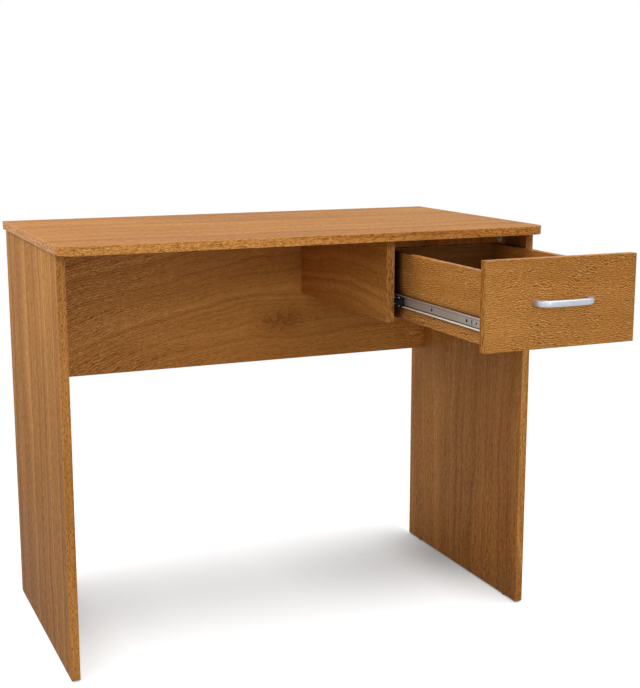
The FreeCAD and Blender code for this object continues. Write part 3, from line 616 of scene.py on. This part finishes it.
def mean_place(group):
    return tuple(round(sum(v[i] for v in group) / len(group), 4) for i in AXES)


def islands(node):
    # The vertices of each separate solid in a node.
    mesh = bmesh.new()
    mesh.from_mesh(nodes[node].data)
    bmesh.ops.remove_doubles(mesh, verts=mesh.verts, dist=SAME_PLACE)
    left = set(mesh.verts)
    groups = []
    while left:
        queue = [left.pop()]
        group = []
        while queue:
            vertex = queue.pop()
            group.append(vertex.co.copy())
            for edge in vertex.link_edges:
                other = edge.other_vert(vertex)
                if other in left:
                    left.remove(other)
                    queue.append(other)
        groups.append(group)
    mesh.free()
    return sorted(groups, key=mean_place)


def publish(node, mesh, sharp=SHARP_ANGLE):
    # Turns a working mesh into a piece that stands for a node, with its body, material and slot. Edges that
    # turn more than the sharp angle stay sharp.
    data = bpy.data.meshes.new("fine_" + node)
    mesh.to_mesh(data)
    mesh.free()
    piece = bpy.data.objects.new("fine_" + node, data)
    bpy.context.scene.collection.objects.link(piece)
    data.materials.append(nodes[node].data.materials[0])
    for face in data.polygons:
        face.use_smooth = True
    data.set_sharp_from_angle(angle=math.radians(sharp))
    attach(piece, nodes[node]["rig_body"])
    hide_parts(node)


def bridge(mesh, low, high):
    # Faces between two rings with as many points.
    count = len(low)
    for i in range(count):
        j = (i + 1) % count
        mesh.faces.new((low[i], low[j], high[j], high[i]))


def turned(mesh, profile, place, turn, count):
    # Rings through (radius, height) points about a turned axis, joined by faces and closed at the last one.
    rings = []
    for radius, height in profile:
        ring = []
        for i in range(count):
            angle = 2 * math.pi * i / count
            point = Vector((radius * math.cos(angle), radius * math.sin(angle), height))
            ring.append(mesh.verts.new(place + turn @ point))
        rings.append(ring)
    for low, high in zip(rings, rings[1:]):
        bridge(mesh, low, high)
    mesh.faces.new(rings[-1])
    return rings


# Screws, in shares of the solids' head and shank radii and of the head's own rim and height

HEAD_EDGE_SHARE = 0.97
SHANK_LIMIT_SHARE = 0.8
NEAR_HEAD_SHARE = 0.75
SHANK_SHARE = 0.86
NECK_SHARE = 1.01
TIP_LENGTH_SHARE = 2
TIP_SHARE = 0.2
REACH_SHARE = 0.50
SLOT_SHARE = 0.24
TAPER_SHARE = 0.6
SCREW_SIDES = 24
DOMED_HEAD = {"rim_share": 0.93, "height_share": 0.57, "recess_share": 0.35,
              "outline_shares": ((0.62, 0.0), (0.80, 0.08), (0.93, 0.30), (1.0, 0.62), (0.98, 1.0))}
FLAT_HEAD = {"rim_share": 0.86, "height_share": 0.33, "recess_share": 0.5,
             "outline_shares": ((0.92, 0.0), (1.0, 0.05))}


def cross_head(mesh, profile, place, direction, reach, half, depth):
    # A screw whose first ring carries a cross recess with arms of this reach, half width and depth.
    turn = UP.rotation_difference(direction)
    rings = turned(mesh, profile, place, turn, SCREW_SIDES)
    top = profile[0][1]
    arm = [(reach, -half), (reach, half), (half, half)]
    corners = arm
    for _ in range(3):
        arm = [(-y, x) for x, y in arm]
        corners = corners + arm
    mouth = []
    foot = []
    for x, y in corners:
        mouth.append(mesh.verts.new(place + turn @ Vector((x, y, top))))
        foot.append(mesh.verts.new(place + turn @ Vector((TAPER_SHARE * x, TAPER_SHARE * y, top + depth))))
    bridge(mesh, foot, mouth)
    mesh.faces.new(foot)
    edges = []
    for rim in (rings[0], mouth):
        for pair in zip(rim, rim[1:] + rim[:1]):
            edges.append(mesh.edges.get(pair) or mesh.edges.new(pair))
    bmesh.ops.triangle_fill(mesh, use_beauty=True, edges=edges)


def screw_frame(group):
    # Place of the head's face, direction to the tip, head radius, shank radius and length.
    low, high = limits(group)
    axis = max(AXES, key=lambda i: high[i] - low[i])
    centre = (low + high) / 2
    length = high[axis] - low[axis]

    def away(v):
        return math.sqrt(sum((v[i] - centre[i]) ** 2 for i in AXES if i != axis))

    head_radius = max(away(v) for v in group)
    head = [v[axis] for v in group if away(v) > HEAD_EDGE_SHARE * head_radius]
    forward = 1.0 if sum(head) / len(head) < centre[axis] else -1.0
    direction = Vector([forward if i == axis else 0.0 for i in AXES])
    face = low[axis] if forward > 0 else high[axis]
    place = Vector([face if i == axis else centre[i] for i in AXES])
    near = [away(v) for v in group if abs(v[axis] - face) < NEAR_HEAD_SHARE * length]
    shank = min(radius for radius in near if radius < SHANK_LIMIT_SHARE * head_radius)
    return place, direction, head_radius, shank, length


def fine_screws(node, head):
    mesh = bmesh.new()
    for group in islands(node):
        place, direction, head_radius, shank, length = screw_frame(group)
        shank *= SHANK_SHARE
        rim = head["rim_share"] * head_radius
        tall = head["height_share"] * head_radius
        profile = [(a * rim, b * tall) for a, b in head["outline_shares"]]
        if head is FLAT_HEAD:
            # A flat head runs down to the shank in a cone.
            profile.append((shank, tall))
        tip = length - TIP_LENGTH_SHARE * shank
        profile += [(shank, NECK_SHARE * tall), (shank, tip), (TIP_SHARE * shank, length)]
        reach = REACH_SHARE * rim
        cross_head(mesh, profile, place, direction, reach, SLOT_SHARE * reach, head["recess_share"] * tall)
    publish(node, mesh)


# Balls and glides

BALL_RADIUS = 0.0015
BALL_SIDES = 16
BALL_RINGS = 10
GLIDE_SIDES = 32
GLIDE_SHARES = ((0.55, 0.0), (0.80, 0.03), (0.93, 0.16), (0.99, 0.42), (1.0, 0.70), (0.985, 1.0))


def fine_balls(node):
    mesh = bmesh.new()
    for group in islands(node):
        low, high = limits(group)
        made = bmesh.ops.create_uvsphere(mesh, u_segments=BALL_SIDES, v_segments=BALL_RINGS,
                                         radius=BALL_RADIUS)
        bmesh.ops.translate(mesh, verts=made["verts"], vec=(low + high) / 2)
    publish(node, mesh)


def fine_glide(node):
    low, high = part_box(node)
    centre = Vector(((low.x + high.x) / 2, (low.y + high.y) / 2, low.z))
    radius = (high.x - low.x) / 2
    tall = high.z - low.z
    profile = [(a * radius, b * tall) for a, b in GLIDE_SHARES]
    mesh = bmesh.new()
    rings = turned(mesh, profile, centre, Quaternion(), GLIDE_SIDES)
    mesh.faces.new(rings[0][::-1])
    publish(node, mesh)


# Handle: its bar's thickness, bends, rounding and straight feet, and the slope at the ends of its bow

HANDLE_THICKNESS = 0.0095
HANDLE_BEND = 0.018
HANDLE_ROUNDING = 0.0036
HANDLE_FOOT = 0.001
HANDLE_SLOPE = math.radians(5.0)
HANDLE_SHARP_ANGLE = 60.0
BEND_STEPS = 16
BOW_STEPS = 12
ROUNDING_STEPS = 6
QUARTER = math.pi / 2


def handle_path(low, high):
    # The bar's middle line as (x from the middle, y, turn) along post, bend, bow, bend and post.
    half = (high.x - low.x - HANDLE_THICKNESS) / 2
    bend_x = half - HANDLE_BEND
    chord = bend_x + HANDLE_BEND * math.sin(HANDLE_SLOPE)
    bow = chord / math.sin(HANDLE_SLOPE)
    crest = low.y + HANDLE_THICKNESS / 2
    bend_y = crest + chord * math.tan(HANDLE_SLOPE / 2) + HANDLE_BEND * math.cos(HANDLE_SLOPE)
    sweep = QUARTER - HANDLE_SLOPE
    path = [(-half, high.y, -QUARTER), (-half, high.y - HANDLE_FOOT, -QUARTER)]
    for i in range(BEND_STEPS + 1):
        turn = sweep * i / BEND_STEPS
        x = -bend_x - HANDLE_BEND * math.cos(turn)
        path.append((x, bend_y - HANDLE_BEND * math.sin(turn), turn - QUARTER))
    for i in range(1, BOW_STEPS):
        turn = -HANDLE_SLOPE + 2 * HANDLE_SLOPE * i / BOW_STEPS
        path.append((bow * math.sin(turn), crest + bow * (1 - math.cos(turn)), turn))
    for i in range(BEND_STEPS + 1):
        turn = HANDLE_SLOPE + sweep * i / BEND_STEPS
        x = bend_x + HANDLE_BEND * math.sin(turn)
        path.append((x, bend_y - HANDLE_BEND * math.cos(turn), turn))
    path += [(half, high.y - HANDLE_FOOT, QUARTER), (half, high.y, QUARTER)]
    return path


def rounded_section(wide, tall, rounding):
    # Points round a rectangle with rounded corners.
    points = []
    for corner, (side, rise) in enumerate(((1, 1), (-1, 1), (-1, -1), (1, -1))):
        for i in range(ROUNDING_STEPS + 1):
            angle = QUARTER * corner + QUARTER * i / ROUNDING_STEPS
            across = side * (wide / 2 - rounding) + rounding * math.cos(angle)
            points.append((across, rise * (tall / 2 - rounding) + rounding * math.sin(angle)))
    return points


def fine_handle(node):
    # A rounded bar swept along the handle's path.
    low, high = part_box(node)
    middle = (low + high) / 2
    section = rounded_section(HANDLE_THICKNESS, high.z - low.z, HANDLE_ROUNDING)
    mesh = bmesh.new()
    rings = []
    for x, y, turn in handle_path(low, high):
        outward = Vector((math.sin(turn), -math.cos(turn), 0.0))
        place = Vector((middle.x + x, y, middle.z))
        rings.append([mesh.verts.new(place + outward * across + UP * rise) for across, rise in section])
    for first, second in zip(rings, rings[1:]):
        bridge(mesh, first, second)
    mesh.faces.new(rings[0][::-1])
    mesh.faces.new(rings[-1])
    bmesh.ops.recalc_face_normals(mesh, faces=mesh.faces)
    publish(node, mesh, HANDLE_SHARP_ANGLE)


for name in ("bracket_screws", "drawer_bottom_screws", "handle_screws"):
    fine_screws(name, DOMED_HEAD)
for name in ("partition_screws", "drawer_back_screws", "cabinet_rail_screws", "drawer_channel_screws"):
    fine_screws(name, FLAT_HEAD)
for name in nodes:
    if name.endswith("balls"):
        fine_balls(name)
    elif name.endswith("glide"):
        fine_glide(name)
fine_handle("drawer_handle")


# Camera at the photo's view, with the sensor's width along the photo's height, its longer side

CAMERA_PLACE = (-0.8562, -2.0528, 0.9635)
CAMERA_YAW = math.radians(23.499)
CAMERA_PITCH = math.radians(-10.732)
FOCAL_PIXELS = 1262.0
PHOTO_HEIGHT_PIXELS = 688.0
SENSOR_MM = 36.0
CLIP_START = 0.05
CLIP_END = 200.0

camera_data = bpy.data.cameras.new("camera")
camera = bpy.data.objects.new("camera", camera_data)
bpy.context.scene.collection.objects.link(camera)
ahead = math.cos(CAMERA_PITCH)
look = Vector((math.sin(CAMERA_YAW) * ahead, math.cos(CAMERA_YAW) * ahead, math.sin(CAMERA_PITCH)))
camera.location = CAMERA_PLACE
camera.rotation_mode = "QUATERNION"
camera.rotation_quaternion = look.to_track_quat("-Z", "Y")
camera_data.sensor_width = SENSOR_MM
camera_data.lens = FOCAL_PIXELS / PHOTO_HEIGHT_PIXELS * SENSOR_MM
camera_data.clip_start = CLIP_START
camera_data.clip_end = CLIP_END
bpy.context.scene.camera = camera


# Floor: its size, where it turns plain white, and the painted shade under the desk by place

FLOOR_SIZE = 60.0
WHITE_SPAN = (0.75, 1.5)
PAPER_WAVES = (40.0, 40.0, 1.0)
SHADE_SIDES = (0.447, 0.430)
SHADE_LINE_Y = 0.255
SHADE_HALF_WIDTH = 0.34
LEFT_SHADE = (-0.20, -0.40, 0.28, 0.36)
RIGHT_SHADE = (0.05, 0.40, 0.0, 0.22)
PANEL_REACH = 0.12
PANEL_SHADE = (1.0, 0.5, 0.0, 0.20)
GAP_REACH = 0.006
GAP_SHADE = (0.1, 0.7, 0.15, 1.0)
OPEN_GLOW = 0.86
BOUNCE_LEFT = (-0.47, -0.41)
BOUNCE_RIGHT = (0.40, 0.10, 0.22, 1.0)
DARK_BOUNCE = (0.08, 0.08, 0.08)
BOUNCE_STOPS = ((0.3, (0.54, 0.54, 0.54)), (0.7, (0.58, 0.58, 0.58)))
SEEN_STOPS = ((0.3, (0.42, 0.42, 0.42)), (0.7, (0.44, 0.44, 0.44)))


def floor_glow(t, x, y):
    # How bright the floor looks by itself, with a painted shadow: dimmer in a band between the side panels,
    # near and under them.
    between = t.span(t.size(x), *SHADE_SIDES)
    band = t.span(t.size(t.minus(y, SHADE_LINE_Y)), SHADE_HALF_WIDTH, 0.0, kind="SMOOTHSTEP")
    depth = t.plus(t.span(x, *LEFT_SHADE), t.span(x, *RIGHT_SHADE))
    # Painted contact shade near the panels.
    painted_contact_shade = t.span(t.hollow(PANEL_REACH), *PANEL_SHADE)
    painted_floor_shadow = t.times(between, t.plus(t.times(band, depth), painted_contact_shade))
    # Painted contact shadow in the thin gap under the panels.
    painted_gap_shadow = t.span(t.hollow(GAP_REACH), *GAP_SHADE)
    return t.times(t.minus(OPEN_GLOW, painted_floor_shadow), painted_gap_shadow)


def floor():
    # Pale paper. What it looks like is set apart from the light that it throws back on the desk.
    bpy.ops.mesh.primitive_plane_add(size=FLOOR_SIZE, location=(0, 0, 0))
    plane = bpy.context.object
    plane.name = "floor"
    t = new_tree("floor_paper")
    x, y, z = t.places()
    grain = t.noise(t.scaled((x, y, z), PAPER_WAVES), 3.0, 0.6)
    bounce = t.add("BsdfDiffuse")
    middle = t.times(t.span(x, *BOUNCE_LEFT), t.span(x, *BOUNCE_RIGHT))
    t.feed(bounce.inputs["Color"], t.mix(middle, DARK_BOUNCE, t.ramp(grain, BOUNCE_STOPS)))
    seen = t.add("BsdfDiffuse")
    t.feed(seen.inputs["Color"], t.ramp(grain, SEEN_STOPS))
    glow = t.add("Emission")
    t.feed(glow.inputs["Strength"], floor_glow(t, x, y))
    near = t.add("AddShader")
    t.feed(near.inputs[0], seen.outputs[0])
    t.feed(near.inputs[1], glow.outputs[0])
    far = t.add("Emission")
    far.inputs["Strength"].default_value = 1.0
    distance = t.math("SQRT", t.plus(t.times(x, x), t.times(y, y)))
    looks = t.mix_shaders(t.span(distance, *WHITE_SPAN), near.outputs[0], far.outputs[0])
    surface = t.mix_shaders(t.looked_at(), bounce.outputs[0], looks)
    t.nodes.remove(t.nodes["Principled BSDF"])
    t.feed(t.nodes["Material Output"].inputs["Surface"], surface)
    plane.data.materials.append(t.owner)


# Light

WHITE = (1.0, 1.0, 1.0, 1.0)
SKY_STRENGTH = 0.54


def sky():
    # Soft white light from all sides, with a plain white behind what is seen.
    world = bpy.data.worlds.new("studio")
    bpy.context.scene.world = world
    t = Tree(world)
    soft = t.nodes["Background"]
    soft.inputs["Color"].default_value = WHITE
    soft.inputs["Strength"].default_value = SKY_STRENGTH
    plain = t.add("Background")
    plain.inputs["Color"].default_value = WHITE
    plain.inputs["Strength"].default_value = 1.0
    surface = t.mix_shaders(t.looked_at(), soft.outputs[0], plain.outputs[0])
    t.feed(t.nodes["World Output"].inputs["Surface"], surface)


def area_light(name, place, aim, size, power):
    data = bpy.data.lights.new(name, "AREA")
    data.shape = "DISK"
    data.size = size
    data.energy = power
    light = bpy.data.objects.new(name, data)
    light.location = place
    light.rotation_mode = "QUATERNION"
    light.rotation_quaternion = (Vector(aim) - Vector(place)).to_track_quat("-Z", "Y")
    light.visible_camera = False
    bpy.context.scene.collection.objects.link(light)


floor()
sky()
area_light("over_box", place=(1.0, -0.8, 3.4), aim=(0.1, 0.0, 0.5), size=2.5, power=46.0)
area_light("front_box", place=(0.0, -4.0, 1.3), aim=(0.0, 0.0, 0.5), size=3.0, power=41.0)
area_light("left_front_box", place=(-1.9, -1.9, 1.5), aim=(0.3, 0.1, 0.5), size=1.5, power=9.0)
area_light("left_box", place=(-1.4, 0.15, 1.65), aim=(-0.45, 0.15, 0.6), size=0.9, power=13.3)
bpy.context.scene.view_settings.view_transform = "Standard"
